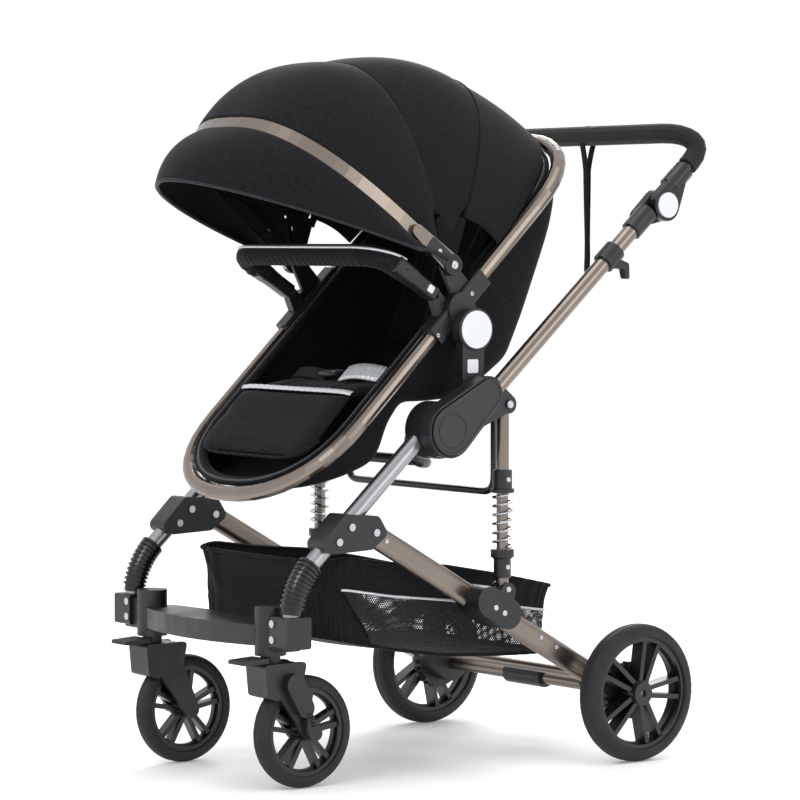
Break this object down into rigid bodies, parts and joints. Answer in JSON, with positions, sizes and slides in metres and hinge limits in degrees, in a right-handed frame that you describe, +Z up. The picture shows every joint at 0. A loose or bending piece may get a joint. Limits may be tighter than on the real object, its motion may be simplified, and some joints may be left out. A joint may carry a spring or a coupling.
{
  "type": "baby stroller",
  "caption": "Folding baby stroller with a tilting hooped seat, three-rib canopy, under-seat basket, sprung rear struts, swivel front casters and an adjustable U handle.",
  "frame": {"origin": "on the ground under the middle of the stroller", "axes": "+Z up; the front of the stroller faces -Y; +X is the side to the rider's left"},
  "size_m": [0.606, 0.9117, 1.1644],
  "materials": {
    "champagne_aluminium": "satin anodised",
    "silver_aluminium": "satin anodised",
    "black_plastic": "fine moulded grain",
    "grey_black_plastic": "satin moulded",
    "black_steel": "powder coated",
    "bellows_rubber": "semi gloss",
    "tyre_rubber": "matt",
    "wheel_plastic": "satin",
    "grip_foam": "matt foam",
    "white_plastic": "gloss",
    "bright_steel": "polished",
    "black_fabric": "woven melange",
    "pad_fabric": "woven padded",
    "webbing": "woven webbing"
  },
  "bodies": {
    "chassis": {"front_leg_tubes": "silver_aluminium", "leg_brackets": "black_plastic", "frame_rivets": "bright_steel", "leg_bellows": "bellows_rubber", "caster_sockets": "black_plastic", "step_board": "grey_black_plastic", "joint_housings": "black_plastic", "seat_adapters": "black_plastic", "front_cross_brace": "black_steel", "rear_u_bar": "black_steel"},
    "rear_frame": {"side_tubes": "champagne_aluminium", "rear_axle": "champagne_aluminium", "brake_housings": "black_plastic", "strut_brackets": "black_plastic", "basket": "black_fabric"},
    "brake_pedal": {"brake_pedal": "black_plastic"},
    "strut_lower": {"strut_rods": "champagne_aluminium"},
    "strut_upper": {"strut_tubes": "champagne_aluminium", "strut_springs": "bright_steel"},
    "handle": {"handle_tubes": "champagne_aluminium", "joint_covers": "grey_black_plastic", "hook_clamps": "black_plastic", "handle_knuckles": "black_plastic"},
    "handle_upper": {"handle_bar": "black_steel", "foam_grip": "grip_foam", "wrist_strap": "webbing"},
    "handle_button_left": {"handle_button_left": "white_plastic"},
    "handle_button_right": {"handle_button_right": "white_plastic"},
    "seat": {"seat_hoop": "champagne_aluminium", "seat_connectors": "black_plastic", "seat_shell": "black_fabric", "seat_pad": "pad_fabric", "harness": "webbing"},
    "backrest": {"backrest": "pad_fabric"},
    "bumper": {"bumper_bar": "black_fabric"},
    "canopy_rear": {"canopy_rib_rear": "black_plastic", "canopy_gore_rear": "black_fabric"},
    "canopy_mid": {"canopy_rib_mid": "black_plastic", "canopy_gore_mid": "black_fabric"},
    "canopy_front": {"canopy_bow": "champagne_aluminium", "canopy_visor": "black_fabric", "canopy_gore_front": "black_fabric"},
    "caster_left": {"caster_fork_left": "black_plastic", "caster_shock_left": "black_plastic"},
    "swivel_lock_left": {"swivel_lock_left": "black_plastic"},
    "front_wheel_left": {"front_rim_left": "wheel_plastic", "front_tyre_left": "tyre_rubber"},
    "rear_wheel_left": {"rear_rim_left": "wheel_plastic", "rear_tyre_left": "tyre_rubber"},
    "hub_button_left": {"hub_button_left": "white_plastic"},
    "seat_release_left": {"seat_release_left": "white_plastic"},
    "caster_right": {"caster_fork_right": "black_plastic", "caster_shock_right": "black_plastic"},
    "swivel_lock_right": {"swivel_lock_right": "black_plastic"},
    "front_wheel_right": {"front_rim_right": "wheel_plastic", "front_tyre_right": "tyre_rubber"},
    "rear_wheel_right": {"rear_rim_right": "wheel_plastic", "rear_tyre_right": "tyre_rubber"},
    "hub_button_right": {"hub_button_right": "white_plastic"},
    "seat_release_right": {"seat_release_right": "white_plastic"}
  },
  "joints": [
    {"name": "rear_fold", "type": "hinge", "parent": "chassis", "child": "rear_frame", "pos_m": [0, -0.23, 0.406], "axis": [1, 0, 0], "range_deg": [0, 15]},
    {"name": "handle_fold", "type": "hinge", "parent": "chassis", "child": "handle", "pos_m": [0, -0.097, 0.563], "axis": [1, 0, 0], "range_deg": [0, 34.8]},
    {"name": "strut_pivot", "type": "hinge", "parent": "rear_frame", "child": "strut_lower", "pos_m": [0, 0.022, 0.298], "axis": [1, 0, 0], "range_deg": [-3.3, 0]},
    {"name": "suspension", "type": "slide", "parent": "strut_lower", "child": "strut_upper", "axis": [0, 0, 1], "range_m": [-0.012, 0], "stiffness_N_per_m": 9000, "deforming": ["strut_springs"]},
    {"name": "handle_angle", "type": "hinge", "parent": "handle", "child": "handle_upper", "pos_m": [0, 0.35707, 0.92503], "axis": [1, 0, 0], "range_deg": [-45, 30], "deforming": ["wrist_strap"]},
    {"name": "brake_press", "type": "hinge", "parent": "rear_frame", "child": "brake_pedal", "pos_m": [0, 0.283, 0.115], "axis": [1, 0, 0], "range_deg": [-18, 0]},
    {"name": "seat_tilt", "type": "hinge", "parent": "chassis", "child": "seat", "pos_m": [0, -0.024, 0.723], "axis": [1, 0, 0], "range_deg": [-35, 0]},
    {"name": "backrest_recline", "type": "hinge", "parent": "seat", "child": "backrest", "pos_m": [0, 0.08888, 0.69462], "axis": [1, 0, 0], "range_deg": [0, 12]},
    {"name": "bumper_swing", "type": "hinge", "parent": "seat", "child": "bumper", "pos_m": [0, -0.07933, 0.77801], "axis": [1, 0, 0], "range_deg": [0, 40]},
    {"name": "canopy_rear_fold", "type": "hinge", "parent": "seat", "child": "canopy_rear", "pos_m": [0, -0.058, 0.827], "axis": [1, 0, 0], "range_deg": [-12.5, 0], "deforming": ["canopy_gore_rear"]},
    {"name": "canopy_mid_fold", "type": "hinge", "parent": "canopy_rear", "child": "canopy_mid", "pos_m": [0, -0.058, 0.827], "axis": [1, 0, 0], "range_deg": [-25, 0], "deforming": ["canopy_gore_mid"]},
    {"name": "canopy_fold", "type": "hinge", "parent": "canopy_mid", "child": "canopy_front", "pos_m": [0, -0.058, 0.827], "axis": [1, 0, 0], "range_deg": [-25, 0], "deforming": ["canopy_gore_front"]},
    {"name": "caster_swivel_left", "type": "hinge", "parent": "chassis", "child": "caster_left", "pos_m": [0.169, -0.38, 0.21], "axis": [0, 0, 1], "continuous": true},
    {"name": "swivel_lock_lever_left", "type": "hinge", "parent": "caster_left", "child": "swivel_lock_left", "pos_m": [0.169, -0.399, 0.209], "axis": [1, 0, 0], "range_deg": [-8, 0]},
    {"name": "front_wheel_spin_left", "type": "hinge", "parent": "caster_left", "child": "front_wheel_left", "pos_m": [0.169, -0.319, 0.09], "axis": [1, 0, 0], "continuous": true},
    {"name": "rear_wheel_spin_left", "type": "hinge", "parent": "rear_frame", "child": "rear_wheel_left", "pos_m": [0.284, 0.283, 0.115], "axis": [1, 0, 0], "continuous": true},
    {"name": "hub_button_press_left", "type": "slide", "parent": "chassis", "child": "hub_button_left", "axis": [-1, 0, 0], "range_m": [0, 0.003], "stiffness_N_per_m": 600},
    {"name": "seat_release_press_left", "type": "slide", "parent": "chassis", "child": "seat_release_left", "axis": [-1, 0, 0], "range_m": [0, 0.0025], "stiffness_N_per_m": 600},
    {"name": "handle_button_press_left", "type": "slide", "parent": "handle_upper", "child": "handle_button_left", "axis": [-1, 0, 0], "range_m": [0, 0.003], "stiffness_N_per_m": 600},
    {"name": "caster_swivel_right", "type": "hinge", "parent": "chassis", "child": "caster_right", "pos_m": [-0.169, -0.38, 0.21], "axis": [0, 0, 1], "continuous": true},
    {"name": "swivel_lock_lever_right", "type": "hinge", "parent": "caster_right", "child": "swivel_lock_right", "pos_m": [-0.169, -0.399, 0.209], "axis": [1, 0, 0], "range_deg": [-8, 0]},
    {"name": "front_wheel_spin_right", "type": "hinge", "parent": "caster_right", "child": "front_wheel_right", "pos_m": [-0.169, -0.319, 0.09], "axis": [1, 0, 0], "continuous": true},
    {"name": "rear_wheel_spin_right", "type": "hinge", "parent": "rear_frame", "child": "rear_wheel_right", "pos_m": [-0.284, 0.283, 0.115], "axis": [1, 0, 0], "continuous": true},
    {"name": "hub_button_press_right", "type": "slide", "parent": "chassis", "child": "hub_button_right", "axis": [1, 0, 0], "range_m": [0, 0.003], "stiffness_N_per_m": 600},
    {"name": "seat_release_press_right", "type": "slide", "parent": "chassis", "child": "seat_release_right", "axis": [1, 0, 0], "range_m": [0, 0.0025], "stiffness_N_per_m": 600},
    {"name": "handle_button_press_right", "type": "slide", "parent": "handle_upper", "child": "handle_button_right", "axis": [1, 0, 0], "range_m": [0, 0.003], "stiffness_N_per_m": 600}
  ],
  "couplings": [
    {"joint": "handle_fold", "follows": "rear_fold", "ratio": 2.32},
    {"joint": "strut_pivot", "follows": "rear_fold", "ratio": -0.22},
    {"joint": "canopy_mid_fold", "follows": "canopy_fold", "ratio": 1},
    {"joint": "canopy_rear_fold", "follows": "canopy_fold", "ratio": 0.5}
  ]
}
